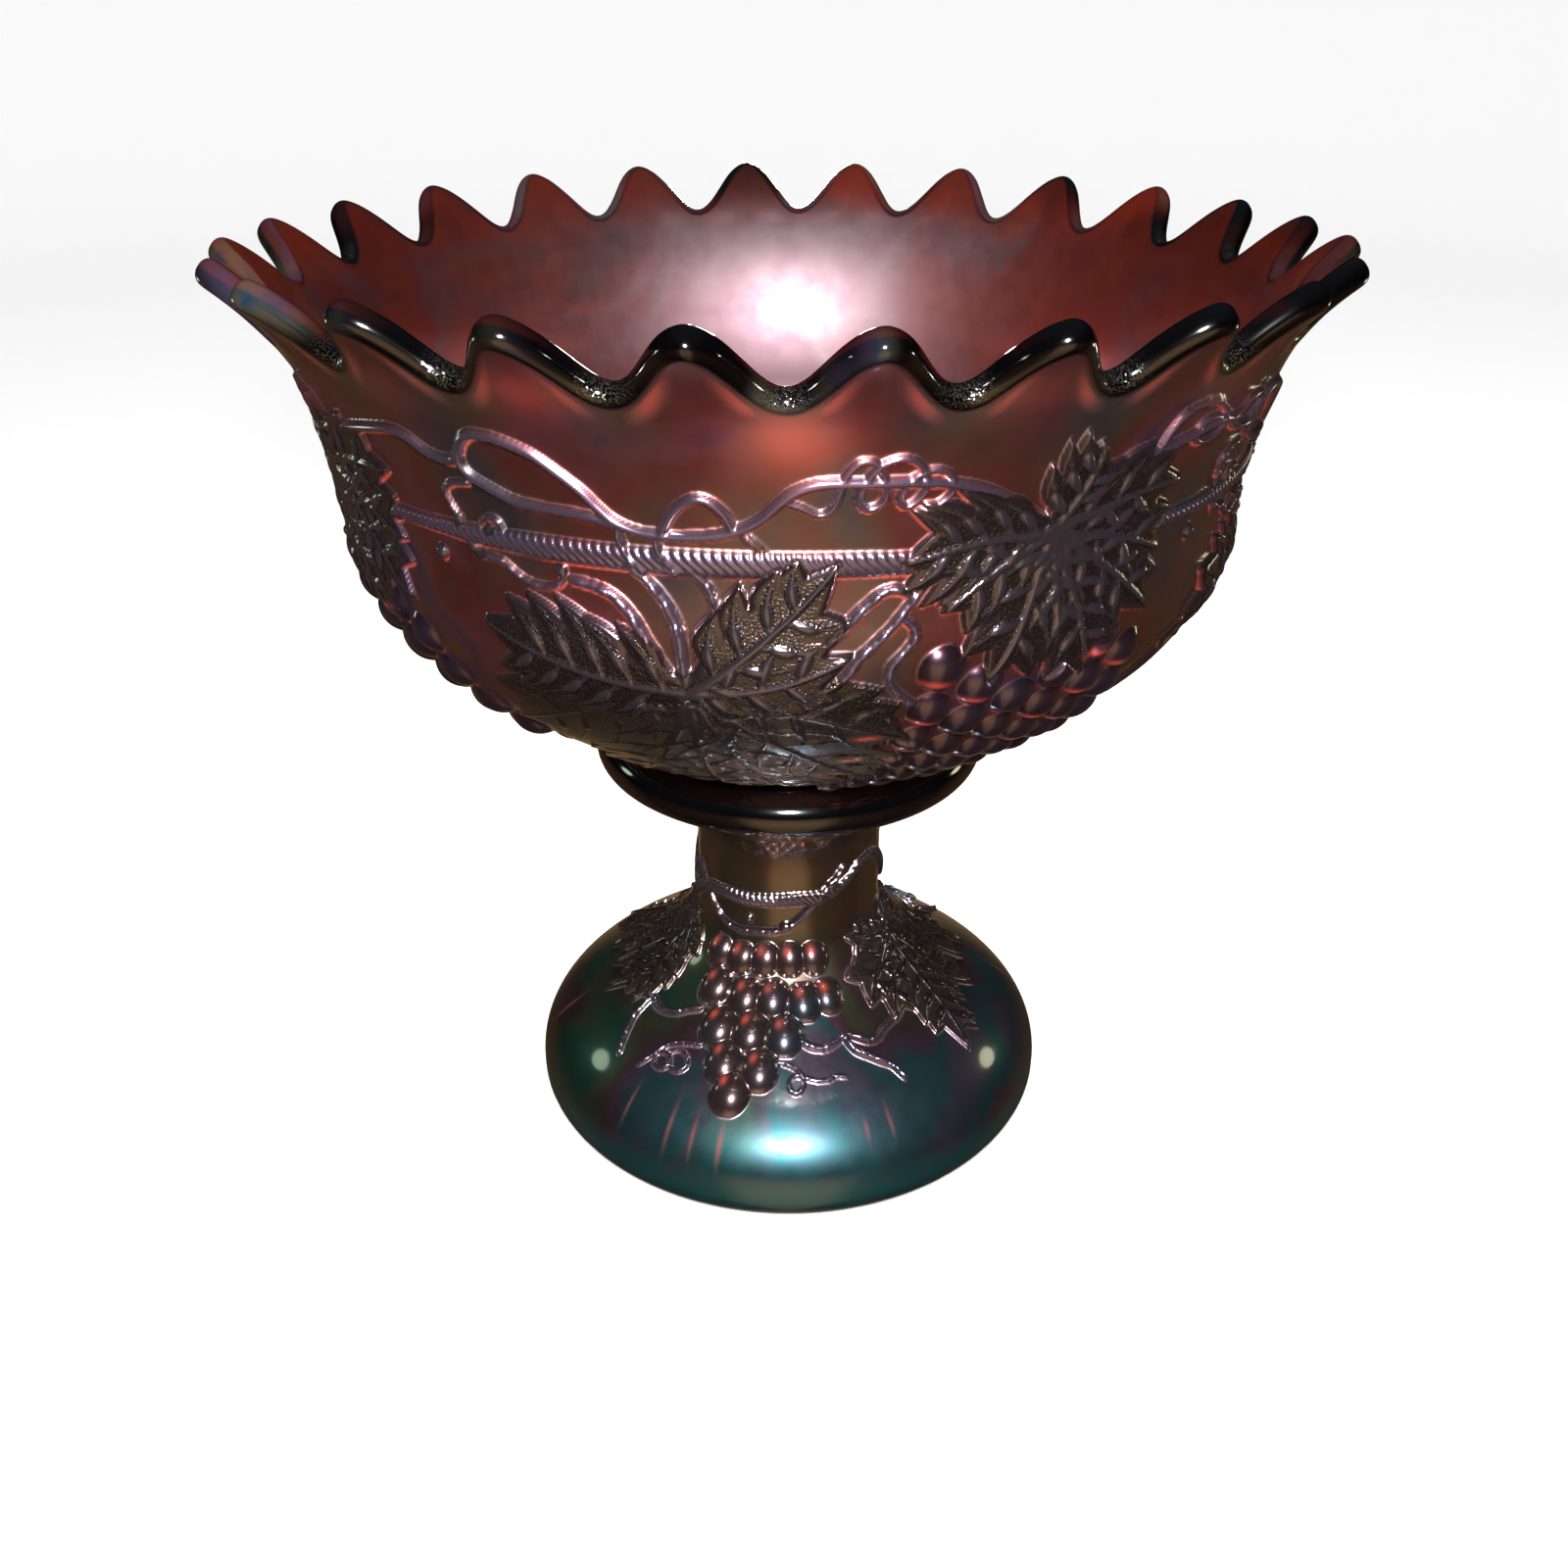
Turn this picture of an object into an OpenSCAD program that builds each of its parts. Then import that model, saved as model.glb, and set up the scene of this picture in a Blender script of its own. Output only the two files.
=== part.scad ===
// Pressed glass punch bowl in two pieces: a sawtooth-rimmed bowl, whose collar foot
// stands loose in the cup on top of a hollow, domed pedestal.
// The origin is on the table under the axis. +Z is up, and the front faces -Y.

/* [Bowl] */
// Height of the tooth tips above the table
total_h = 250; // [240:1:265]
// Radius of the rim at the tooth tips, to the middle of its rounded edge
rim_r = 129.5; // [124:0.5:136]
// Diameter of the rounded edge
rim_edge_d = 6.4; // [6:0.2:7]
// Radius of the bowl at its waist, where the wall stands upright
waist_r = 110; // [106:0.5:114]
// Height of the waist above the table
waist_z = 190; // [184:1:196]
// Thickness of the bowl's wall
bowl_wall = 5.5; // [4:0.5:6]

/* [Teeth] */
// Number of teeth round the rim
tooth_count = 24; // [16:1:32]
// Height from a valley to a tip
tooth_h = 13; // [6:0.5:15]

/* [Seat] */
// Outer radius of the bowl's collar foot
collar_r = 36; // [32:0.5:37]
// Width of the flat ring that the collar foot stands on
collar_w = 6; // [4:0.5:8]
// Height of the collar foot
collar_h = 11.3; // [11.3:0.1:13]
// Gap round the collar foot in the cup, on the radius
seat_gap = 1; // [0.5:0.1:1.5]
// Height of the cup's floor above the table
seat_z = 112; // [112:0.1:113]

/* [Pedestal] */
// Outer radius of the thick ring round the cup
ring_r = 53.5; // [53:0.5:58]
// Width and height of the ring's oval section
ring_w = 17; // [15:0.5:18]
ring_h = 14; // [12:0.5:14]
// Height of the ring's middle above the table
ring_z = 115.5; // [115:0.1:115.5]
// Radius of the neck
neck_r = 26.2; // [22:0.2:30]
// Outer radius of the domed foot
foot_r = 75; // [70:1:82]
// Height at which the foot is widest
foot_bulge_z = 12; // [9:0.5:16]
// Outer radius of the flat ring that stands on the table
stand_r = 64; // [62:0.5:66]
// Inner radius of that ring, which is the mouth of the hollow underneath
hollow_r = 58; // [52:0.5:60]
// Thickness of the pedestal's wall
pedestal_wall = 6.5; // [5:0.5:8]

/* [Hidden] */

$fn = 96;
curve_steps = 14;   // straight steps along each curve of a section
arc_step = 22.5;    // degrees from point to point round a section's edge
cut = 1;            // how far a cutting shape runs past what it cuts

// A cubic curve from p[0] to p[3], and the direction in which it runs
function curve_point(p, t) =
    pow(1 - t, 3) * p[0] + 3 * t * pow(1 - t, 2) * p[1]
    + 3 * t * t * (1 - t) * p[2] + pow(t, 3) * p[3];
function curve_run(p, t) =
    3 * pow(1 - t, 2) * (p[1] - p[0]) + 6 * t * (1 - t) * (p[2] - p[1])
    + 3 * t * t * (p[3] - p[2]);

// A point beside the curve, at a distance to its left
function beside(p, t, left) =
    let (run = curve_run(p, t)) curve_point(p, t) + left * [-run.y, run.x] / norm(run);
function curve(p, left = 0, first = 0, last = curve_steps) =
    [for (i = [first:last]) beside(p, i / curve_steps, left)];
function reversed(points) = [for (i = [len(points) - 1:-1:0]) points[i]];
function arc(centre, rx, ry, from, to) =
    [for (a = [from:arc_step:to]) centre + [rx * cos(a), ry * sin(a)]];

// The bowl's outer face, from the collar to the waist, and from there to the rim
underside = [collar_r + 6, seat_z + collar_h];
rim_edge_r = rim_edge_d / 2;
rim_centre = [rim_r, total_h - rim_edge_r];
rim_join = rim_centre + rim_edge_r * [cos(-45), sin(-45)];
waist = [waist_r, waist_z];
belly_curve = [underside, underside + [27, 10], waist + [0.7, -32.5], waist];
flare_curve = [waist, waist + [0.2, 14], rim_join - [17, 13.2], rim_join];
bowl_floor_z = beside(belly_curve, 0, bowl_wall).y;

// The teeth: each valley is cut by a level cone that points at the bowl's axis
tooth_pitch = 360 / tooth_count;
valley_share = 0.96;    // how much of the pitch a valley takes
valley_slope = tan(valley_share * tooth_pitch / 2);
valley_axis_z = total_h - tooth_h + rim_r * valley_slope;
valley_from_r = waist_r - bowl_wall;
valley_to_r = rim_r + rim_edge_d;

// The pedestal's outer face, from the ring down to the neck, then to the table
cup_r = collar_r + seat_gap;
ring_centre = [ring_r - ring_w / 2, ring_z];
ring_bottom = ring_centre - [0, ring_h / 2];
neck_top = [neck_r, 84];
neck_foot = [neck_r, 68];
bulge = [foot_r, foot_bulge_z];
stem_curve = [ring_bottom, ring_bottom - [8, 0.4], neck_top + [0, 14], neck_top];
dome_curve = [neck_foot, neck_foot - [0, 27], bulge + [1.5, 25], bulge];
heel_curve = [bulge, bulge + [0.5, -5.5], [stand_r + 4.5, 1.5], [stand_r, 0]];

// The hollow underneath narrows all the way up, as a pressed hollow has to
hollow_neck_r = neck_r - pedestal_wall;
hollow_top_z = seat_z - pedestal_wall - 2;
hollow_shoulder_z = hollow_top_z - 9;

// Half the bowl in the plane of its axis, before the teeth are cut
module bowl_section() {
    polygon(concat(
        [[0, underside.y]],
        curve(belly_curve),
        curve(flare_curve, first = 1, last = curve_steps - 1),
        arc(rim_centre, rim_edge_r, rim_edge_r, -45, 135),
        reversed(curve(flare_curve, bowl_wall, first = 1, last = curve_steps - 1)),
        reversed(curve(belly_curve, bowl_wall)),
        [[0, bowl_floor_z]]));
}

// One valley between two teeth, on the +X side
module valley() {
    translate([valley_from_r, 0, valley_axis_z])
        rotate([0, 90, 0])
            cylinder(r1 = valley_from_r * valley_slope, r2 = valley_to_r * valley_slope,
                     h = valley_to_r - valley_from_r);
}

module collar_foot() {
    difference() {
        translate([0, 0, seat_z]) cylinder(r = collar_r, h = collar_h + cut);
        translate([0, 0, seat_z - cut]) cylinder(r = collar_r - collar_w, h = collar_h + cut);
    }
}

module punch_bowl() {
    color([0.32, 0.12, 0.16]) {
        difference() {
            rotate_extrude() bowl_section();
            // A valley faces the front
            for (i = [0:tooth_count - 1])
                rotate([0, 0, -90 + i * tooth_pitch]) valley();
        }
        collar_foot();
    }
}

// Half the hollow in the plane of the axis
module hollow_section() {
    intersection() {
        polygon(concat(
            [[0, hollow_top_z], [hollow_neck_r, hollow_shoulder_z]],
            curve(dome_curve, -pedestal_wall),
            [[foot_r, -cut], [0, -cut]]));
        translate([0, -cut]) square([hollow_r, seat_z]);
    }
}

// Half the pedestal in the plane of its axis, before the cup is cut
module pedestal_section() {
    difference() {
        polygon(concat(
            [[0, ring_centre.y]],
            reversed(arc(ring_centre, ring_w / 2, ring_h / 2, arc_step - 90, 180)),
            curve(stem_curve),
            curve(dome_curve),
            curve(heel_curve, first = 1),
            [[0, 0]]));
        hollow_section();
    }
}

module pedestal() {
    color([0.10, 0.20, 0.20])
        difference() {
            rotate_extrude() pedestal_section();
            translate([0, 0, seat_z]) cylinder(r = cup_r, h = ring_h);
        }
}

punch_bowl();
pedestal();
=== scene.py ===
"""Carnival glass punch bowl on its pedestal: pressed grape-and-vine relief, iridescent finish.

Lengths in the shape code are millimetres, and angles are degrees round the axis, from the front
(-Y) towards +X. A place on a wall is (angle, length along the wall's outer line from its foot).
"""
import math
from types import SimpleNamespace

import bpy
import numpy as np
from mathutils import Matrix, Vector


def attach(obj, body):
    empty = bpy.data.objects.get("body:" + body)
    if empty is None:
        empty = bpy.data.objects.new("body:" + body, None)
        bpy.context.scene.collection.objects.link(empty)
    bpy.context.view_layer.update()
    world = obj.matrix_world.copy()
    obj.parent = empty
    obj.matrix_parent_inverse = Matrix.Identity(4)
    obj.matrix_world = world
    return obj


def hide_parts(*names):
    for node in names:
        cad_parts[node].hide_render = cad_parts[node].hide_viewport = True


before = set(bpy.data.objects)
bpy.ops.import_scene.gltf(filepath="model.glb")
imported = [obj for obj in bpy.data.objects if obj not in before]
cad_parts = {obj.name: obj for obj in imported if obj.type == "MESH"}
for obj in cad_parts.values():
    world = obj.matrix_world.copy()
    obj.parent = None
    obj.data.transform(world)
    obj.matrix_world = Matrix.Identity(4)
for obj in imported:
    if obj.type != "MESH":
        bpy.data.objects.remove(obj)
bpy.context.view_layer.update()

MM = 0.001

# -------- sections

# The bowl's outer line as cubic curves (radius, height), from the collar to the rim's bead
BOWL_LINE = (
    ((42, 123.3), (69, 133.3), (110.7, 157.5), (110, 190)),
    ((110, 190), (110.2, 204), (114.76, 231.34), (131.76, 244.54)),
)
BOWL_WALL = 5.5
COLLAR_OUTER = 36
COLLAR_INNER = 30
SEAT_Z = 112
UNDERSIDE_Z = 123.3
WALL_START = 4          # how far along the section from the axis the outer wall starts
DISH = 1.2              # how far the inside's floor sinks to the middle
DISH_CIRCLES = ((38, 360), (33, 360), (27, 180), (20, 180), (13, 90), (6, 45))     # radius, points

# The pedestal's outer line, from the table up to the ring
PEDESTAL_LINE = (
    ((64, 0), (68.5, 1.5), (75.5, 6.5), (75, 12)),
    ((75, 12), (76.5, 37), (26.2, 41), (26.2, 68)),
    ((26.2, 68), (26.2, 73), (26.2, 79), (26.2, 84)),
    ((26.2, 84), (26.2, 98), (37, 108.1), (45, 108.5)),
)
PEDESTAL_WALL = 6.5
HOLLOW_R = 58
HOLLOW_NECK_R = 19.7
HOLLOW_TOP_Z = 103.5
HOLLOW_SHOULDER_Z = 94.5
RING_CENTRE = (45, 115.5)
RING_HALF = (8.5, 7)
CUP_R = 37

# -------- mesh sizes

COLUMNS = 1800          # round the bowl
PED_COLUMNS = 1440      # round the pedestal
ROW_STEP = 0.42         # between rows where there is relief
SMOOTH_STEP = 2.4       # between rows of a plain face

# -------- rim

TEETH = 24
S_VALLEY = 149.6        # where the edge is, along the outer line
S_TIP = 165.0
S_LOW = 143.5           # the last level row under the teeth
LIFT_ROWS = 18
ROUND_ROWS = 11
EDGE_ROUND = 3.0        # depth over which the edge is rounded
EDGE_POWER = 2.3
TIP_HALF = 3.2          # half the edge's thickness at a tip
VALLEY_HALF = 2.8
RIM_DRAWN = (214, 244)  # the heights between which the rim goes out of true
RIM_TWIST = 2.6         # degrees that the back teeth stand to the right of an even spacing
RIM_SHIFT = 2.0         # how far the rim leans to the left
RIM_OVAL = 0.3          # how far it is drawn out to the front and back, and in at the sides
RIM_CLOSE = 1.0         # degrees that the front teeth stand closer together
RIM_RISE = 0.25         # how far the rim stands higher all round
RIM_WAVE = 0.35         # three waves in the rim's height
RIM_DROP = 1.3          # how far it sags at the back left
RIM_SADDLE = 0.75       # how far the rim is higher at front and back, and lower at the sides


def bezier(p, count):
    """Points along a cubic curve."""
    t = np.linspace(0, 1, count)[:, None]
    p = np.array(p, float)
    return ((1 - t) ** 3 * p[0] + 3 * t * (1 - t) ** 2 * p[1]
            + 3 * t * t * (1 - t) * p[2] + t ** 3 * p[3])


def smooth(x, low, high):
    """0 below low, 1 above high, eased between."""
    t = np.clip((x - low) / (high - low), 0, 1)
    return t * t * (3 - 2 * t)


class Line:
    """A section's outer line, measured along its length. Its normal points out of the glass."""

    def __init__(self, curves):
        pts = np.concatenate([bezier(c, 400) for c in curves])
        step = np.hypot(*np.diff(pts, axis=0).T)
        pts = pts[np.r_[True, step > 1e-6]]
        self.s = np.r_[0, np.cumsum(np.hypot(*np.diff(pts, axis=0).T))]
        self.pts = pts
        run = np.gradient(pts, self.s, axis=0)
        self.run = run / np.linalg.norm(run, axis=1)[:, None]
        self.length = self.s[-1]

    def at(self, s):
        """Radius, height and the normal's two parts, also past the ends, where it runs straight."""
        s = np.asarray(s, float)
        inside = np.clip(s, 0, self.length)
        over = s - inside
        tr = np.interp(inside, self.s, self.run[:, 0])
        tz = np.interp(inside, self.s, self.run[:, 1])
        r = np.interp(inside, self.s, self.pts[:, 0]) + over * tr
        z = np.interp(inside, self.s, self.pts[:, 1]) + over * tz
        return r, z, tz, -tr


bowl_line = Line(BOWL_LINE)
pedestal_line = Line(PEDESTAL_LINE)

# -------- relief

ROPE_LEAN = 0.55        # how far a strand runs on across the rope, for its half width
OUTSIDE = -9.0          # well outside a leaf


def spline(points, scale, step=0.9):
    """A smooth path through (angle, length) points, as short steps. scale is mm to a degree."""
    p = np.array(points, float)
    ends = np.concatenate([[2 * p[0] - p[1]], p, [2 * p[-1] - p[-2]]])
    out = []
    for a, b, c, d in zip(ends, ends[1:], ends[2:], ends[3:]):
        count = max(2, int(np.hypot((c[0] - b[0]) * scale, c[1] - b[1]) / step))
        t = np.linspace(0, 1, count, endpoint=False)[:, None]
        out.append(0.5 * (2 * b + (c - a) * t + (2 * a - 5 * b + 4 * c - d) * t ** 2
                          + (3 * b - 3 * c + d - a) * t ** 3))
    return np.concatenate(out + [p[-1:]])


class Relief:
    """Heights over a wall on a grid of rows (length) and columns (angle), all in one repeat."""

    def __init__(self, line, rows, columns, repeats):
        self.line = line
        self.rows = rows
        self.radius = line.at(rows)[0]
        self.columns = columns
        self.pitch = 360 / columns
        self.shift = columns // repeats
        self.repeats = repeats
        shape = (len(rows), columns)
        self.height = np.zeros(shape)
        self.leaf = np.zeros(shape)
        self.grape = np.zeros(shape)
        self.grain = np.zeros(shape)
        self.glow = np.zeros(shape)

    def window(self, angles, lengths, margin):
        """The rows and columns within margin of a box."""
        low, high = min(lengths) - margin, max(lengths) + margin
        r0, r1 = np.searchsorted(self.rows, (low, high))
        r1 = max(r1, r0 + 1)
        radius = max(8, self.radius[r0:r1].min())
        reach = math.degrees(margin / radius)
        c0 = math.floor((min(angles) - reach) / self.pitch)
        c1 = math.ceil((max(angles) + reach) / self.pitch) + 1
        return slice(r0, r1), np.arange(c0, c1)

    def grid(self, rows, cols, angle):
        """Distance round from a meridian, and length along the wall, at each point."""
        turn = np.radians(cols * self.pitch - angle)
        return self.radius[rows][:, None] * turn[None, :], self.rows[rows][:, None]

    def radius_at(self, length):
        return float(np.interp(length, self.rows, self.radius))

    def each(self, cols, only=None):
        """The columns of every repeat of a window, or of some repeats only."""
        for k in only or range(self.repeats):
            yield (cols + k * self.shift) % self.columns

    def raise_to(self, layer, rows, cols, value, only=None):
        """Brings a layer up to a value wherever it is lower."""
        part = getattr(self, layer)
        for c in self.each(cols, only):
            part[rows, c] = np.maximum(part[rows, c], value)

    def stroke(self, points, width, height, power=0.7, taper=(1, 1), only=None, knobs=0):
        """A raised rounded ridge along a path. width and height are its middle's; taper its ends'."""
        path = spline(points, math.radians(1) * self.radius_at(points[0][1]))
        size = np.interp(np.linspace(0, 1, len(path)), (0, 0.5, 1), (taper[0], 1, taper[1]))
        for i, (a, b) in enumerate(zip(path, path[1:])):
            half = width / 2 * size[i]
            rows, cols = self.window((a[0], b[0]), (a[1], b[1]), half + 0.3)
            x, s = self.grid(rows, cols, a[0])
            y = s - a[1]
            bx = self.radius_at((a[1] + b[1]) / 2) * math.radians(b[0] - a[0])
            by = b[1] - a[1]
            t = np.clip((x * bx + y * by) / (bx * bx + by * by + 1e-9), 0, 1)
            away = np.hypot(x - t * bx, y - t * by) / half
            lump = 1 + knobs * math.sin(i * 2.4) * math.sin(i * 1.1 + 1)
            value = height * size[i] ** 0.6 * lump * np.clip(1 - away ** 2, 0, 1) ** power
            self.raise_to("height", rows, cols, value, only)

    def dome(self, angle, length, radius, height, layer="grape", stretch=1.0):
        """A round bump with a sharp foot, like a grape."""
        rows, cols = self.window((angle,), (length,), radius + 0.5)
        x, s = self.grid(rows, cols, angle)
        away = np.hypot(x, (s - length) / stretch)
        ball = (radius ** 2 + height ** 2) / (2 * height)
        value = np.sqrt(np.clip(ball ** 2 - away ** 2, 0, None)) - (ball - height)
        self.raise_to("height", rows, cols, np.where(away < radius, value, 0))
        self.raise_to(layer, rows, cols, smooth(radius - away, -0.4, 0.5))

    def painted_glow(self, angle, length, wide, tall, strength):
        """A soft spot of painted glow, standing in for light coming through the glass."""
        rows, cols = self.window((angle,), (length,), 2.2 * max(wide, tall))
        x, s = self.grid(rows, cols, angle)
        value = strength * np.exp(-(x / wide) ** 2 - ((s - length) / tall) ** 2)
        self.raise_to("glow", rows, cols, value)

    def rope(self, points, half, height, strand):
        """A twisted cable: slanting rounded strands along a path, with half widths to match."""
        p = np.array(points, float)
        rows, cols = self.window(p[:, 0], p[:, 1], max(half) + 1)
        angle = cols * self.pitch
        middle = np.interp(angle, p[:, 0], p[:, 1])[None, :]
        wide = np.interp(angle, p[:, 0], half)[None, :]
        inside = ((angle >= p[0, 0]) & (angle <= p[-1, 0]))[None, :]
        x = self.radius_at(p[:, 1].mean()) * np.radians(angle)[None, :]
        y = (self.rows[rows][:, None] - middle) / wide
        turn = (x + ROPE_LEAN * wide * (y + 0.3 * np.sin(math.pi * y))) / strand
        lay = 1 - np.abs(2 * (turn - np.floor(turn)) - 1)
        bulge = np.sqrt(np.clip(1 - (1 - lay) ** 2, 0, 1))
        body = np.sqrt(np.clip(1 - y ** 2, 0, 1))
        self.raise_to("height", rows, cols, height * body * (0.42 + 0.58 * bulge) * inside)

    def leaf_shape(self, centre, lobes, height, vein, spread=42, grain=1.0, margin=1.7):
        """A vine leaf: a flat plate with a toothed edge, over what is below it, and raised veins.

        lobes are (tip angle, tip length, half width, bend, pairs of teeth). Each lobe has a rib to
        its tip, and a smaller vein to each tooth. The ground between the veins is stippled, and
        the margin round it is polished.
        """
        angles = [centre[0]] + [lobe[0] for lobe in lobes]
        lengths = [centre[1]] + [lobe[1] for lobe in lobes]
        rows, cols = self.window(angles, lengths, 16)
        x, s = self.grid(rows, cols, centre[0])
        y = s - centre[1] + 0 * x
        depth = np.full_like(x, OUTSIDE)        # distance inside the leaf's outline
        rib = np.zeros_like(x)
        knot = np.zeros_like(x)
        for k, (tip_angle, tip_length, half, bend, pairs) in enumerate(lobes):
            across = self.radius_at(tip_length) * math.radians(tip_angle - centre[0])
            tip = np.array((across, tip_length - centre[1]))
            length = float(np.hypot(*tip))
            ahead = tip / length
            left = np.array((-ahead[1], ahead[0]))
            f, u, inside = self.beside(x, y, (0, 0), ahead, length, bend)
            wide = 0.80 * half * self.blade(f, 0.35, 0.42, 1.8)
            depth = np.maximum(depth, np.where(inside, wide - np.abs(u), OUTSIDE))
            rib = np.maximum(rib, self.ridge(f, u, inside, 1.15, 1.0) * 1.2)
            gap = 0.68 * length / pairs
            for i in range(2 * pairs):
                way = 1 if i % 2 else -1
                at = 0.10 + 0.68 * (i // 2 + 0.42 * (way > 0)) / pairs
                turn = way * math.radians(spread + 5 * math.sin(2.1 * i + k))
                full = 1 - ((at - 0.34) / 0.62) ** 2
                reach = full * half * 1.12 / math.sin(math.radians(spread))
                broad = min(0.52 * gap, 0.42 * reach)
                base = ahead * at * length + left * bend * length * math.sin(math.pi * at)
                run = ahead * math.cos(turn) + left * math.sin(turn)
                f, u, inside = self.beside(x, y, base, run, reach, 0.10 * way)
                wide = broad * self.blade(f, 0.5, 0.45, 1.7)
                depth = np.maximum(depth, np.where(inside, wide - np.abs(u), OUTSIDE))
                rib = np.maximum(rib, self.ridge(f, u, inside, 0.6, 0.8) * 0.8)
                oval = ((f - 0.3) * reach / 3.0) ** 2 + (u / 1.2) ** 2
                knot = np.maximum(knot, np.sqrt(np.clip(1 - oval, 0, 1)) * inside)
        rib = np.maximum(rib, 1.45 * knot)
        cover = smooth(depth, -0.15, 0.15)
        pillow = np.sqrt(np.clip(1 - (1 - np.clip(depth / margin, 0, 1)) ** 2, 0, 1))
        top = height * (0.35 + 0.65 * pillow) * smooth(depth, -0.1, 0.4)
        top = np.where(cover > 0, top + vein * rib * smooth(depth, 0, 0.8), 0)
        ground = grain * smooth(depth, 0.8 * margin, margin + 0.3) * (1 - smooth(rib, 0.0, 0.4))
        for c in self.each(cols):
            self.height[rows, c] = self.height[rows, c] * (1 - cover) + top
            self.grape[rows, c] *= 1 - cover
            self.grain[rows, c] = self.grain[rows, c] * (1 - cover) + ground
        self.raise_to("leaf", rows, cols, cover * (0.5 + 0.5 * smooth(rib, 0, 0.6)))

    @staticmethod
    def beside(x, y, base, run, reach, bend):
        """The share of the way along a line, the distance to its left, and whether it is beside it."""
        dx, dy = x - base[0], y - base[1]
        t = (dx * run[0] + dy * run[1]) / reach
        f = np.clip(t, 0, 1)
        u = -dx * run[1] + dy * run[0] - bend * reach * np.sin(math.pi * f)
        return f, u, (t > -0.06) & (t < 1)

    @staticmethod
    def blade(f, foot, widest, power):
        """A lobe's half width along it: foot where it starts, and 1 at the share called widest."""
        past = np.clip((f - widest) / (1 - widest), 0, 1)
        return np.where(f < widest, foot + (1 - foot) * f / widest, 1 - past ** power)

    @staticmethod
    def ridge(f, u, inside, half, last):
        """The round section of a vein that narrows to its end."""
        wide = half * (1 - 0.62 * f)
        round_top = np.sqrt(np.clip(1 - (u / wide) ** 2, 0, 1))
        return np.where(inside, round_top * (1 - smooth(f, last - 0.25, last)) ** 0.5, 0)

    def flanks(self):
        """How steeply it rises upwards: 1 on the lower side of a ridge, -1 on the upper."""
        return np.clip(np.gradient(self.height, self.rows, axis=0), -2, 2) / 2

    def glow_lines(self):
        """A painted glow on the thin line just below each ridge, standing in for light coming through
        the glass.
        """
        above = np.roll(self.height, -2, axis=0) - self.height
        above[-2:] = 0
        return smooth(above, 0.25, 0.9) * (1 - smooth(self.height, 0.15, 0.45))

    def wall(self, rings, start, **values):
        """The rings of the outer wall, pushed out by the relief, with the values that go with it."""
        r, z, nr, nz = (part[:, None] for part in self.line.at(self.rows))
        return rings.ring(r + nr * self.height, z + nz * self.height, start + self.rows,
                          relief=self.height / 3, flank=self.flanks(), seep=self.glow_lines(),
                          leaf=self.leaf, grape=self.grape, grain=self.grain,
                          length=self.rows[:, None] / LENGTH_UNIT, **values)


# ---- the bowl's relief: paths of (angle, length) points along its ridges

VINE = (
    (-57.5, 125), (-55, 129), (-52, 131.5), (-49, 132.8), (-46, 134), (-42, 135.3), (-39.7, 134.6),
    (-37.6, 132), (-35.5, 131), (-34, 131.4), (-33, 133.4), (-32, 136.2), (-30.4, 138.2),
    (-28.4, 138.3), (-26.4, 137.4), (-24, 135.4), (-22, 132.3), (-20, 128.8), (-18.5, 125.4),
    (-17, 122.6), (-15, 121), (-13, 120.5), (-11, 120.3), (-8, 120.8), (-5.5, 122), (-3, 124.6),
    (-1, 128.6), (0.5, 131), (2.5, 132.4), (4.5, 132.6), (7, 132.4), (10, 132.3), (13, 131.9),
    (15, 131.3), (17, 130.3), (19, 128.7), (21, 126.4), (23, 123.8), (25, 121.3), (26.3, 118.7),
)
LONG_LOOP = (
    (-33, 133), (-33.2, 130.6), (-32.5, 128.5), (-31.4, 127.2), (-29.6, 125.7), (-28, 124.5),
    (-26, 123.9), (-23, 123.6), (-20, 123.2), (-18.5, 122.7), (-17.2, 122),
)
HALF_LOOP = (
    (-12.5, 120.5), (-11.8, 123.5), (-10.6, 126.8), (-9, 128.8), (-7.6, 128.3), (-6.3, 125.8),
    (-5.6, 122.8),
)
COIL = (
    (-0.3, 128.4), (1, 127.3), (2.6, 125.7), (3.7, 127), (4.3, 130), (4.9, 134), (6, 136.8),
    (7, 137.2), (7.8, 136.3), (8.4, 133.5), (8.7, 130), (8.2, 127.7), (7.1, 126.7), (6.2, 128),
    (6.2, 130.6), (7, 133.6), (8.2, 136.3), (10, 137.5), (11.4, 136.5), (12.3, 133.6),
    (12.2, 130), (11.3, 127.6), (10.4, 127), (9.9, 128.6), (10.3, 131.2), (11.5, 133.7),
    (13, 134.7), (14.5, 133.6), (15, 131), (14.6, 128.6), (13.8, 127.3),
)
CURL = (
    (38.5, 133.2), (39.2, 136.4), (40.5, 139.6), (43, 141.2), (46, 140.4), (48.4, 137.6),
    (49, 134), (47.4, 131.4), (45, 131.2), (43.6, 133.4), (44.4, 136), (46.4, 136.6),
    (50, 134.6), (52.5, 135.5), (54, 138), (56.4, 138.2), (57.6, 135.4), (56.2, 132.4),
)
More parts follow.
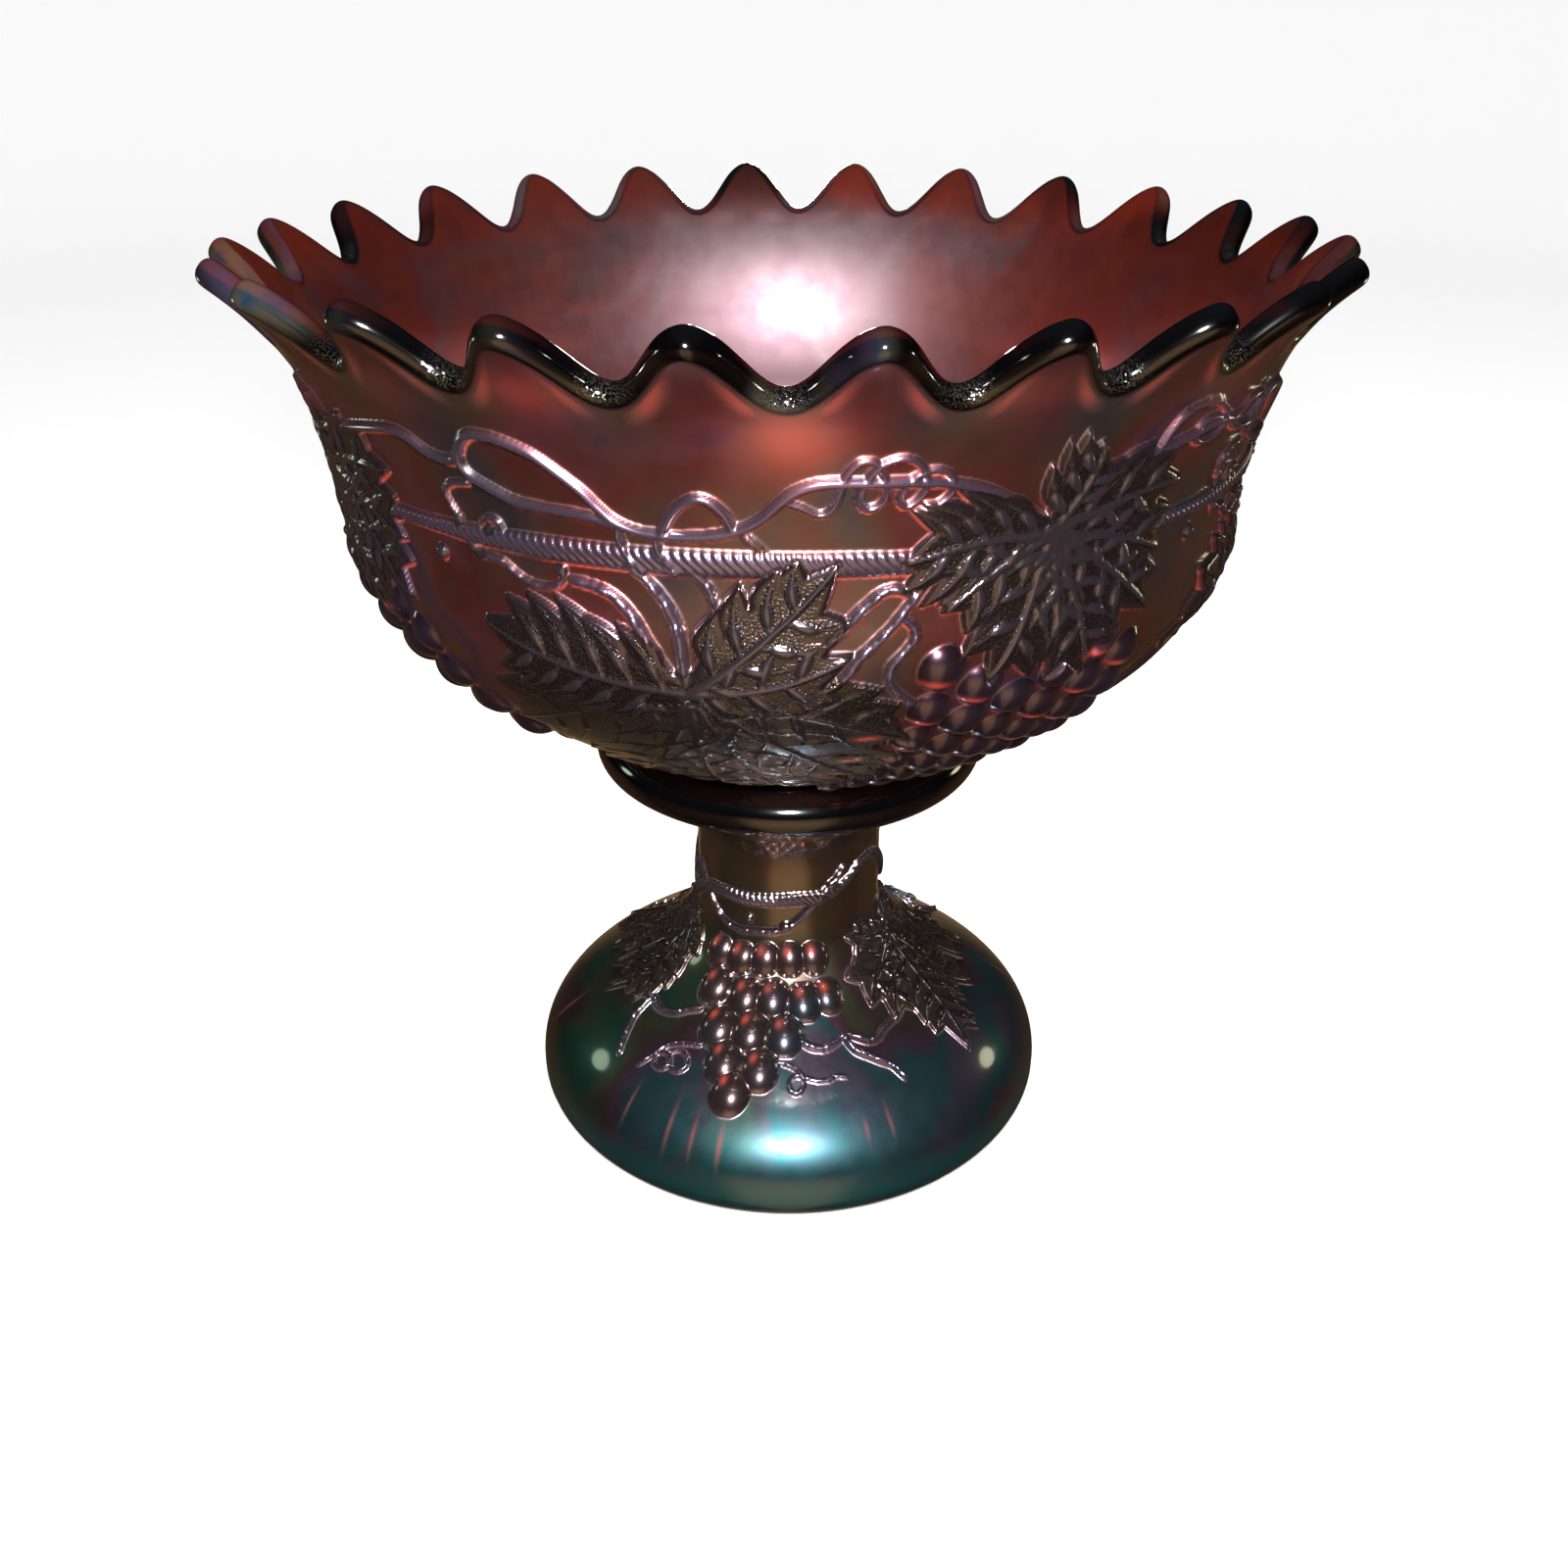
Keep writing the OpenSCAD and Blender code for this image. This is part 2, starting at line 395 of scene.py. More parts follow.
STEMS = (
    # path, width, height
    (((-16.2, 113.4), (-14.5, 110.6), (-12.6, 105.6), (-11.5, 100), (-11.2, 94), (-11, 88)),
     3.0, 1.7),
    (((-22.6, 108.6), (-20.4, 108), (-18.4, 106.6), (-16.7, 103.4), (-15.3, 99), (-13.8, 93.6),
      (-12, 88.2)), 3.0, 1.6),
    (((-9.8, 113), (-8.7, 111), (-8, 108.8), (-7.6, 106)), 2.2, 1.2),
    (((11.7, 108.2), (10.4, 109.2), (9, 108.5), (7.4, 105.8), (5.9, 102.6), (4.4, 99.6),
      (3, 96.6)), 2.8, 1.6),
    (((14.6, 112), (13.1, 109), (11.8, 105.4), (10.2, 101.2), (8.4, 97.6), (6.8, 94.6),
      (5.9, 91.6), (4.2, 88.4), (1, 86.6), (-4, 86.2)), 2.7, 1.5),
    (((11, 103.4), (12.2, 101.4), (12.7, 98.8), (11.7, 95.8), (10.5, 93), (10.2, 90), (10.8, 87),
      (12, 84.4), (13.4, 82)), 2.3, 1.3),
    (((-33.4, 126.4), (-35.6, 125.6), (-37, 123.6), (-36.8, 121), (-36.2, 118.4), (-36, 115.6),
      (-35.3, 113), (-34.2, 111.2), (-32.8, 110.4), (-31, 110), (-29.8, 108.4), (-28.4, 106.9),
      (-26.8, 106.2), (-25, 106.6), (-23.7, 108.4), (-23.5, 111)), 1.9, 1.3),
    (((-33.6, 116), (-32.6, 118.6), (-31.4, 119.4), (-30.4, 118.6), (-30.2, 116.6)), 1.6, 1.2),
    (((-4.6, 121), (-3.9, 119.4), (-3.1, 117.8)), 1.1, 0.9),
    (((-3.9, 121), (-3.2, 119.4), (-2.4, 117.8)), 1.0, 0.8),
    (((-16.8, 121), (-16.6, 118), (-15.8, 115), (-14.6, 112.6)), 2.0, 1.9),
    (((-13.1, 119.6), (-12.8, 117), (-12, 114.6), (-11.2, 112.6)), 1.7, 1.8),
)
BERRIES = ((-36.2, 117.7, 1.6), (-23.9, 110.2, 1.5), (-31.9, 116.9, 1.2), (-33.8, 110.6, 1.3),
           (-40.2, 108.4, 1.7))
ROPE_PATH = ((-50, 114.4), (-40, 114.7), (-32, 114.8), (-24, 114.9), (-10, 114.8), (3.6, 114.7),
             (43, 114.4))
ROPE_HALF = (1.7, 1.9, 2.4, 2.9, 3.0, 2.8, 2.4)
GRAPE_COLUMN = 9.6      # between columns of grapes, in mm
GRAPE_ROW = 11.3        # between grapes in one column
GRAPE_TOP = 96          # where the highest grapes are
GRAPE_MIDDLE = 26.3     # the cluster's meridian
GRAPE_SPAN = (          # lowest and highest grape of each column
    (-3, 30, 79), (-2, 18, 97), (-1, 12, 92), (0, 14, 86), (1, 24, 92), (2, 36, 98), (3, 48, 92),
)
LOWER_CENTRE = (-10.8, 86.5)
LOWER_LOBES = (
    # tip angle, tip length, half width, bend, pairs of leaflets
    (-34.8, 97, 12, 0.05, 5), (4.8, 116, 9.5, -0.04, 4), (6.5, 96, 8.5, -0.06, 3),
)
LOWER_SKIRT = (
    (-40, 62, 15, -0.04, 4), (-31, 30, 15, 0.03, 5), (-15, 8, 16, 0.0, 6), (5, 12, 16, 0.03, 6),
    (14, 42, 15, 0.04, 5), (15, 69, 12, 0.05, 4),
)
UPPER_CENTRE = (26.4, 118)
UPPER_LOBES = (
    (30.4, 137.5, 8.5, -0.06, 3), (44, 124, 9, 0.06, 3), (43.5, 108, 10, 0.04, 3),
    (10.6, 114.6, 11, -0.06, 4), (15.2, 103, 9, -0.04, 3), (21.2, 86, 10, 0.05, 3),
    (29, 92, 8, 0.03, 3), (35, 82, 10, 0.03, 4), (43, 94.5, 10, 0.03, 4),
)


def bowl_relief(rows):
    """Everything pressed into the outside of the bowl."""
    relief = Relief(bowl_line, rows, COLUMNS, 4)
    for column, low, high in GRAPE_SPAN:
        length = GRAPE_TOP if column % 2 else GRAPE_TOP - GRAPE_ROW / 2
        while length > low:
            if length <= high:
                turn = column * GRAPE_COLUMN / relief.radius_at(length)
                angle = GRAPE_MIDDLE + math.degrees(turn)
                size = 5.3 + 0.25 * math.sin(3 * column + length)
                relief.dome(angle, length, size, 2.7, stretch=1.1)
                # a painted red glow just below some of the grapes
                if (column * 3 + int(length)) % 4 < 2:
                    relief.painted_glow(angle - 1, length - 2.4, 2.6, 0.9, 0.9)
            length -= GRAPE_ROW
    relief.rope(ROPE_PATH, ROPE_HALF, 1.7, 1.95)
    relief.leaf_shape(UPPER_CENTRE, UPPER_LOBES, 1.5, vein=0.6, grain=0.6)
    relief.leaf_shape(LOWER_CENTRE, LOWER_SKIRT, 1.0, vein=0.3, spread=46, margin=0.5)
    relief.leaf_shape(LOWER_CENTRE, LOWER_LOBES, 1.7, vein=0.6)
    for path in (VINE, LONG_LOOP):
        relief.stroke(path, 2.5, 1.7, power=0.8)
    relief.stroke(HALF_LOOP, 2.3, 1.6, power=0.8)
    relief.stroke(COIL, 1.5, 1.4, power=0.8)
    relief.stroke(CURL, 1.7, 1.4, power=0.8, only=(0, 2))
    for path, width, height in STEMS:
        relief.stroke(path, width, height, taper=(0.8, 0.9), knobs=0.25)
    for angle, length, radius in BERRIES:
        relief.dome(angle, length, radius, radius * 0.9, layer="leaf")
    return relief


# ---- the pedestal's relief

PED_GRAPES = (
    (-15.8, 45.8, 5.6), (-20.2, 54, 5.5), (-8.9, 53.2, 5.5), (-26.5, 63.4, 5.5), (-14.3, 64, 5.5),
    (-1.8, 63.6, 5.5), (-35.5, 74, 5.0), (-20, 73.6, 5.0), (-7.5, 74, 5.0), (6.5, 73, 5.0),
    (17.6, 74, 4.4), (-42, 84, 4.2), (-27.5, 84, 4.3), (-13.5, 85, 4.3), (0.5, 85.4, 4.3),
    (14, 85.4, 4.2),
)
PED_VINES = (
    # path, width, height
    (((0.5, 62.6), (4, 62), (7, 60.2), (11, 59.3), (15, 60.3), (18.5, 61.8), (21, 62),
      (24, 60.5), (27, 58.9), (31, 59), (34, 60.6), (38, 61.6), (42, 63), (45, 66)), 2.2, 1.6),
    (((19.5, 61), (21.5, 57.2), (25, 54.6), (28, 52.2), (30.5, 50), (32.2, 46)), 2.4, 1.6),
    (((-36.5, 66.5), (-40, 65), (-44, 62.5), (-48, 61.2), (-53, 60.7), (-58, 61.8), (-64, 60.2),
      (-70, 60.6), (-76, 64)), 2.1, 1.5),
    (((-58, 61), (-57.5, 55), (-55, 50), (-51.5, 44)), 2.1, 1.4),
    (((-7.5, 56.5), (-4, 56), (0, 55), (2.6, 53.5), (3.9, 51.5), (4.1, 49.4), (2.9, 47.4),
      (1.2, 47.2), (0, 48.6), (0.4, 50.8), (2.2, 52.2), (4.6, 51.4), (8, 50.3), (11, 50.2),
      (13.5, 51), (16.4, 50.4)), 1.2, 1.1),
    (((-29.5, 57), (-32.5, 56.4), (-36, 55.2), (-39, 53.4), (-41, 50), (-42.4, 47),
      (-43.6, 44.6)), 1.5, 1.2),
    (((-40.6, 50), (-38.6, 51.2), (-36, 50.4), (-35.4, 48), (-37.6, 46.4), (-40, 47),
      (-41, 49.4)), 1.2, 1.1),
    (((-37, 52), (-34.4, 53.6), (-31.4, 52.4), (-30.2, 49.8), (-31.8, 47.8), (-34.6, 48),
      (-36.6, 50)), 1.3, 1.2),
)
SWAG = ((-76, 96), (-66, 100), (-54, 102.4), (-40, 103), (-25, 103), (-10, 103.7), (5, 104.4),
        (18, 104.4), (30, 105.6), (38, 107.6), (46, 111), (58, 112.6), (70, 110), (82, 104),
        (93, 97), (104, 96))
SWAG_HALF = (1.6, 2.0, 2.2, 2.2, 2.2, 2.2, 2.2, 2.0, 1.9, 1.8, 1.8, 1.8, 1.8, 1.8, 1.7, 1.6)
LOW_SWAG = (
    (-68, 107), (-60, 101.6), (-52, 96.6), (-44, 93.6), (-32, 92.4), (-20, 93.2), (-8, 93.8),
    (0, 95.6), (6, 98), (12, 101), (19, 104.6), (27, 108), (34, 112),
)
PED_BERRIES = ((-25, 96.8, 1.5), (-2, 95.2, 1.7), (27, 107.6, 1.9), (19, 103.8, 1.7))
# Red streaks where the lustre ran thin, painted as a glow of light through the glass: angle, length,
# half width, half length
PED_STREAKS = (
    (-28, 33, 0.6, 6), (-22, 32, 0.5, 5), (-15.5, 31, 0.7, 5), (18, 35, 0.5, 3), (24, 36, 0.5, 4),
    (98, 36, 0.6, 6), (140, 34, 0.5, 5),
)
PED_CENTRE = (70, 83)
PED_LOBES = (
    (34, 89, 5, 0.05, 2), (34, 67.5, 6.5, -0.05, 3), (40, 60.5, 6, 0.0, 3), (55, 42, 9, 0.05, 5),
    (80, 50, 7, 0.0, 4), (88, 66, 6, 0.0, 3), (86, 88, 5, 0.0, 2),
)
PED_LEFT = (-75, 87)
PED_LEFT_LOBES = (
    (-91, 74, 5, 0.0, 3), (-88, 53, 7, 0.0, 3), (-77, 50, 7, 0.04, 3), (-63, 56, 7.5, -0.05, 4),
    (-60, 76, 5, 0.0, 2),
)


def pedestal_relief(rows):
    """Everything pressed into the outside of the pedestal."""
    relief = Relief(pedestal_line, rows, PED_COLUMNS, 2)
    for angle, length, radius in PED_GRAPES:
        relief.dome(angle, length, radius * 1.06, radius * 0.6, stretch=1.18)
        # a painted red glow at the upper left of each grape
        relief.painted_glow(angle - 1.9, length + 2.6, 1.0, 1.5, 1.0)
    for path, width, height in PED_VINES:
        relief.stroke(path, width, height, taper=(0.9, 0.75), knobs=0.2)
    for angle, length, wide, tall in PED_STREAKS:
        relief.painted_glow(angle, length, wide, tall, 0.8)
    for centre, lobes in ((PED_CENTRE, PED_LOBES), (PED_LEFT, PED_LEFT_LOBES)):
        relief.leaf_shape(centre, lobes, 1.1, vein=0.5, grain=0.35, margin=1.4)
    relief.rope(SWAG, SWAG_HALF, 1.5, 1.7)
    relief.stroke(LOW_SWAG, 2.3, 1.3, knobs=0.3)
    for angle, length, radius in PED_BERRIES:
        relief.dome(angle, length, radius, radius * 0.9, layer="leaf")
    return relief


# -------- mesh building

LENGTH_UNIT = 160       # the length value is 1 at this many mm along a wall
LAYERS = ("relief", "flank", "seep", "leaf", "grape", "grain", "edge", "inside", "length", "glow")
BOWL_ANGLES = np.arange(COLUMNS) * 360 / COLUMNS


def add(name, data):
    """A new object in the scene."""
    made = bpy.data.objects.new(name, data)
    bpy.context.scene.collection.objects.link(made)
    return made


class Rings:
    """A closed turned mesh made ring by ring, with values at every vertex."""

    def __init__(self, names):
        self.names = names
        self.points = []
        self.values = {name: [] for name in names}
        self.turns = []
        self.along = []
        self.faces = []
        self.count = 0

    def ring(self, r, z, along, **values):
        """Adds rings of points. r and z are (rings, columns), and give an index for each."""
        r, z = np.broadcast_arrays(np.atleast_2d(r), np.atleast_2d(z))
        rings, columns = r.shape
        turn = np.arange(columns) / columns
        a = 2 * math.pi * turn
        xyz = np.stack([r * np.sin(a), -r * np.cos(a), z], -1)
        self.points.append(xyz.reshape(-1, 3))
        self.turns.append(np.tile(turn, rings))
        self.along.append(np.broadcast_to(np.reshape(along, (-1, 1)), r.shape).reshape(-1))
        for name in self.names:
            value = np.broadcast_to(values.get(name, 0), r.shape)
            self.values[name].append(value.astype(np.float32).reshape(-1))
        index = self.count + np.arange(rings * columns).reshape(rings, columns)
        self.count += rings * columns
        return index

    def circles(self, rows, along, step=1, **values):
        """Adds level circles, each (radius, height, points), and gives the indices of each."""
        return [self.ring(np.full((1, count), radius), height, [along + step * k], **values)[0]
                for k, (radius, height, count) in enumerate(rows)]

    def join(self, a, b):
        """Faces between two rings, the second with as many points or a whole share of them."""
        share = len(a) // len(b)
        a_next, b_next = np.roll(a, -1), np.roll(b, -1)
        if share == 1:
            self.faces.append(np.stack([a, a_next, b_next, b], 1))
            return
        middle = share // 2
        for j in range(share):
            here, there = a[j::share], a_next[j::share]
            if j < middle:
                self.faces.append(np.stack([here, there, b], 1))
            elif j == middle:
                self.faces.append(np.stack([here, there, b_next, b], 1))
            else:
                self.faces.append(np.stack([here, there, b_next], 1))

    def strip(self, rings):
        for a, b in zip(rings, rings[1:]):
            self.join(a, b)

    def cap(self, ring, z, along):
        """Closes a ring with triangles to the axis."""
        centre = self.ring([[0.0]], [[z]], [along])[0, 0]
        self.faces.append(np.stack([ring, np.roll(ring, -1), np.full(len(ring), centre)], 1))

    def flip(self, first):
        """Turns the faces round that were made since the first, to look out of the glass."""
        self.faces[first:] = [block[:, ::-1] for block in self.faces[first:]]

    def build(self, name, split, warp=None):
        """The Blender object. split is where along the section the relief ends, for the UV map."""
        points = np.concatenate(self.points)
        if warp:
            points = warp(points)
        loops = np.concatenate([block.reshape(-1) for block in self.faces])
        sizes = np.concatenate([np.full(*block.shape) for block in self.faces])
        starts = np.cumsum(sizes) - sizes
        mesh = bpy.data.meshes.new(name)
        mesh.vertices.add(len(points))
        mesh.vertices.foreach_set("co", (points * MM).astype(np.float32).reshape(-1))
        mesh.loops.add(len(loops))
        mesh.loops.foreach_set("vertex_index", loops.astype(np.int32))
        mesh.polygons.add(len(starts))
        mesh.polygons.foreach_set("loop_start", starts.astype(np.int32))
        mesh.update(calc_edges=True)
        self.unwrap(mesh, loops, starts, sizes, split)
        for key in self.names:
            layer = mesh.attributes.new(key, "FLOAT", "POINT")
            layer.data.foreach_set("value", np.concatenate(self.values[key]))
        mesh.shade_smooth()
        mesh.validate()
        return add(name, mesh)

    def unwrap(self, mesh, loops, starts, sizes, split):
        """Two half turns, one above the other. The relief takes three quarters of the height."""
        turn = np.concatenate(self.turns)[loops]
        along = np.concatenate(self.along)[loops]
        face = np.repeat(np.arange(len(starts)), sizes)
        low = np.minimum.reduceat(turn, starts)[face]
        high = np.maximum.reduceat(turn, starts)[face]
        turn = np.where((high - low > 0.5) & (turn < 0.5), turn + 1, turn)
        middle = (np.add.reduceat(turn, starts) / sizes)[face]
        half = (middle % 1 >= 0.5).astype(float)
        across = np.clip((turn - np.floor(middle)) * 2 - half, 0, 1)
        total = along.max()
        up = np.where(along < split, 0.75 * along / split,
                      0.75 + 0.25 * (along - split) / (total - split))
        uv = np.stack([0.004 + 0.992 * across, (half + 0.004 + 0.992 * up) / 2], 1)
        layer = mesh.uv_layers.new(name="OFBake")
        layer.data.foreach_set("uv", uv.astype(np.float32).reshape(-1))


# ---- the bowl

# Painted red glow where light comes through the glass under the rim: angle, length, half angle, half
# length, strength
GLOWS = (
    (0.5, 142, 5, 8, 1.0), (-22, 150, 5, 6, 0.55), (19, 151, 6, 7, 0.4),
    (-40, 146, 4, 6, 0.3), (47, 148, 6, 8, 0.4), (78, 141, 6, 8, 0.6), (110, 149, 5, 6, 0.5),
    (141, 143, 6, 8, 0.7), (168, 150, 5, 6, 0.4), (196, 141, 5, 8, 0.8), (222, 149, 6, 6, 0.5),
    (251, 144, 5, 8, 0.6), (280, 150, 6, 6, 0.5), (303, 142, 5, 7, 0.4),
)


def glows(s):
    """The strength of the painted red glow at each point of the outer wall."""
    value = 0
    for middle, length, wide, tall, strength in GLOWS:
        gap = (BOWL_ANGLES - middle + 180) % 360 - 180
        value = value + strength * np.exp(-(gap / wide) ** 2 - ((s - length) / tall) ** 2)
    return np.clip(value, 0, 1)


def tooth_wave(angle):
    """0 below each valley and 1 below each tip."""
    return 0.5 - 0.5 * np.cos(np.radians(angle * TEETH))


def edge_length(angle):
    """Where the rim's edge is, along the outer line."""
    return S_VALLEY + (S_TIP - S_VALLEY) * tooth_wave(angle)


def tooth_grid():
    """For one tooth, row by row: each point's length, and its distance from the edge."""
    angle = BOWL_ANGLES[:COLUMNS // TEETH]
    edge = edge_length(angle)
    step = bowl_line.at(edge)[0] * np.radians(BOWL_ANGLES[1])
    slope = np.gradient(np.r_[edge[-1], edge, edge[0]])[1:-1] / step
    start = np.maximum(edge - np.hypot(1, slope) * EDGE_ROUND, S_LOW + 0.8)
    lifted = S_LOW + (start - S_LOW) * np.linspace(0, 1, LIFT_ROWS + 1)[1:, None]
    bend = np.radians(np.linspace(90, 0, ROUND_ROWS + 1)[1:, None])
    s = np.concatenate([lifted, edge - (edge - start) * (1 - np.cos(bend))])
    fine = np.linspace(-1.5 / TEETH * 360, 1.5 / TEETH * 360, 1600)
    across = bowl_line.at(s)[0][..., None] * np.radians(fine - angle[:, None])
    away = np.hypot(across, edge_length(fine) - s[..., None]).min(axis=-1)
    away[-1] = 0
    return s, away


def drawn_rim(points):
    """How the hot rim was drawn a little out of true as the bowl was finished by hand."""
    x, y, z = points.T
    amount = smooth(z, *RIM_DRAWN)
    radius, angle = np.hypot(x, y), np.arctan2(x, -y)
    ahead = np.clip(np.cos(angle), 0, 1)
    twist = RIM_TWIST * (1 - np.cos(angle)) / 2 + RIM_CLOSE * ahead * np.sin(2 * angle)
    rise = RIM_RISE - RIM_WAVE * np.sin(3 * angle) + RIM_SADDLE * np.cos(2 * angle)
    rise = rise - RIM_DROP * np.clip(-np.sin(angle), 0, 1) * (1 - np.cos(angle)) / 2
    radius = radius + amount * RIM_OVAL * np.cos(2 * angle)
    angle = angle - amount * np.radians(twist)
    shift = amount * RIM_SHIFT * (1 - 0.4 * ahead)
    return np.stack([radius * np.sin(angle) - shift, -radius * np.cos(angle), z + amount * rise], 1)


def collar_foot(rings):
    """The circles of the bowl's underside, from inside the collar foot out to the wall."""
    return rings.circles((
        (28.8, UNDERSIDE_Z, 180), (29.6, UNDERSIDE_Z - 0.3, 360), (COLLAR_INNER, UNDERSIDE_Z - 1, 360),
        (COLLAR_INNER, SEAT_Z + 1, 360), (COLLAR_INNER + 0.3, SEAT_Z + 0.3, 360),
        (COLLAR_INNER + 1, SEAT_Z, 360), (COLLAR_OUTER - 1, SEAT_Z, 360),
        (COLLAR_OUTER - 0.3, SEAT_Z + 0.3, 360), (COLLAR_OUTER, SEAT_Z + 1, 360),
        (COLLAR_OUTER, UNDERSIDE_Z - 1.5, 360), (COLLAR_OUTER + 0.5, UNDERSIDE_Z - 0.4, 360),
        (COLLAR_OUTER + 1.5, UNDERSIDE_Z, 360), (40, UNDERSIDE_Z, COLUMNS),
    ), 0, 0.2)


def bowl_wall(rings):
    """The outer wall with its relief, up to the last level row under the teeth."""
    level = np.r_[np.linspace(0, 4, 6)[:-1], np.arange(4, 140, ROW_STEP),
                  np.arange(140.2, S_LOW, 0.9), S_LOW]
    relief = bowl_relief(level)
    relief.height *= smooth(level, 0.5, 6)[:, None]
    glow = np.maximum(glows(level[:, None]), relief.glow)
    return relief.wall(rings, WALL_START, tooth=tooth_wave(BOWL_ANGLES), glow=glow)


def bowl_teeth(rings):
    """The teeth with their rounded edge: the rings outside, the rings inside, and where they end."""
    s, away = (np.tile(part, (1, TEETH)) for part in tooth_grid())
    wave = tooth_wave(BOWL_ANGLES)
    half = VALLEY_HALF + (TIP_HALF - VALLEY_HALF) * wave
    r, z, nr, nz = bowl_line.at(s)
    middle_r, middle_z = r - nr * BOWL_WALL / 2, z - nz * BOWL_WALL / 2
    fuller = (1 - smooth(away, 4, 13)) * smooth(s, S_LOW, S_LOW + 5)
    swell = BOWL_WALL / 2 + (half - BOWL_WALL / 2) * fuller
    close = np.clip(1 - away / EDGE_ROUND, 0, 1)
    thick = swell * (1 - close ** EDGE_POWER) ** (1 / EDGE_POWER)
    along = WALL_START + S_LOW + 0.75 * np.arange(1, len(s) + 1)
    edge = 1 - smooth(away, 0.6, 3.4)
    worn = edge * (1 - smooth(s, S_VALLEY - 1, S_VALLEY + 4.5))
    # hem: a painted red glow band a little in from the edge, between the tips and the valleys
    hem = smooth(away, 3, 4) * (1 - smooth(away, 4.5, 8)) * (4 * wave * (1 - wave)) ** 1.5
    outer = rings.ring(middle_r + nr * thick, middle_z + nz * thick, along, edge=edge, grain=worn,
                       length=s / LENGTH_UNIT, glow=np.maximum(glows(s), 0.8 * hem), tooth=wave)
    back_along = along[-1] + 0.5 * np.arange(1, len(s))
    back = slice(len(s) - 2, None, -1)
    inner = rings.ring((middle_r - nr * thick)[back], (middle_z - nz * thick)[back], back_along,
                       edge=edge[back], grain=worn[back], length=(s / LENGTH_UNIT)[back], inside=1)
    return list(outer), list(inner), back_along[-1]


def bowl_inside(rings, end):
    """The plain inside down to the floor, with fewer columns below its first three rings."""
    s = np.r_[S_LOW, np.arange(S_LOW - 1.6, 6, -SMOOTH_STEP), 3, 0]
    r, z, nr, nz = bowl_line.at(s)
    r, z = r - nr * BOWL_WALL, z - nz * BOWL_WALL
    inside = []
    for part, columns in ((slice(3), COLUMNS), (slice(3, None), 360)):
        inside.extend(rings.ring(np.tile(r[part, None], columns), z[part, None],
                                 end + 1 + S_LOW - s[part], inside=1,
                                 length=s[part, None] / LENGTH_UNIT))
    end += 1 + S_LOW
    inside += rings.circles([(radius, z[-1] - DISH * (1 - (radius / r[-1]) ** 2), count)
                             for radius, count in DISH_CIRCLES], end, inside=1)
    return inside, z[-1] - DISH, end + 8


def build_bowl():
    rings = Rings(LAYERS + ("tooth",))
    base = collar_foot(rings)
    wall = list(bowl_wall(rings))
    outer, inner, end = bowl_teeth(rings)
    inside, floor_z, end = bowl_inside(rings, end)
    rings.strip(wall + outer + inner + inside)
    rings.cap(inside[-1], floor_z, end)
    # the underside is joined from the wall inwards
    first = len(rings.faces)
    rings.strip([wall[0]] + base[::-1])
    middle = rings.circles(((20, UNDERSIDE_Z, 180), (10, UNDERSIDE_Z, 60)), 0, 0)
    rings.strip([base[0]] + middle)
    rings.cap(middle[-1], UNDERSIDE_Z, 0)
    rings.flip(first)
    return rings.build("bowl_glass", WALL_START + S_LOW + 12, drawn_rim)


# ---- the pedestal


def seat_ring(rings, start):
    """Round the ring's oval section, from underneath to its inner top, then down into the cup."""
    turn = np.radians(np.linspace(-90, 160, 64)[1:])
    r = RING_CENTRE[0] + RING_HALF[0] * np.cos(turn)
    z = RING_CENTRE[1] + RING_HALF[1] * np.sin(turn)
    along = start + 0.7 * np.arange(1, len(turn) + 1)
    oval = rings.ring(np.tile(r[:, None], PED_COLUMNS // 4), z[:, None], along, edge=1, length=1)
    cup = rings.circles((
        (CUP_R, z[-1] - 0.7, 360), (CUP_R, SEAT_Z + 0.8, 360), (CUP_R - 0.3, SEAT_Z + 0.2, 360),
        (CUP_R - 1, SEAT_Z, 360), (30, SEAT_Z, 360), (20, SEAT_Z, 180), (10, SEAT_Z, 60),
    ), along[-1], 2, edge=1, length=1)
    return list(oval) + cup, along[-1] + 20


def hollow(rings, start):
    """The circles of the hollow underneath, from the flat ring on the table to the neck's top."""
    line = bezier(PEDESTAL_LINE[1], 80)
    run = np.gradient(line, axis=0)
    run /= np.linalg.norm(run, axis=1)[:, None]
    dome = line + PEDESTAL_WALL * np.stack([-run[:, 1], run[:, 0]], 1)
    dome = dome[dome[:, 0] < HOLLOW_R]
    section = [(62, 0), (HOLLOW_R + 0.8, 0), (HOLLOW_R + 0.2, 0.3), (HOLLOW_R, 1), (HOLLOW_R, 8),
               (HOLLOW_R, dome[0, 1] - 1), *dome[::2],
               (HOLLOW_NECK_R, 72), (HOLLOW_NECK_R, 82), (HOLLOW_NECK_R, HOLLOW_SHOULDER_Z - 1),
               (HOLLOW_NECK_R - 1, HOLLOW_SHOULDER_Z), (12, HOLLOW_TOP_Z - 5.4), (5, HOLLOW_TOP_Z - 1.6)]
    return rings.circles([(radius, height, 360) for radius, height in section], start, inside=1)


def build_pedestal():
    rings = Rings(LAYERS)
    total = pedestal_line.length
    rows = np.r_[np.arange(0, 34, 1.1), np.arange(34, 114, ROW_STEP), np.arange(114.5, total - 0.5, 1.1),
                 total]
    relief = pedestal_relief(rows)
    wall = list(relief.wall(rings, 0, glow=relief.glow))
    seat, end = seat_ring(rings, total)
    under = hollow(rings, end)
    rings.strip(wall + seat)
    rings.cap(seat[-1], SEAT_Z, end)
    first = len(rings.faces)
    rings.strip([wall[0]] + under)
    rings.cap(under[-1], HOLLOW_TOP_Z, end + len(under))
    rings.flip(first)
    return rings.build("pedestal_glass", total)


# -------- materials


def colour(r, g, b):
    return (r, g, b, 1)


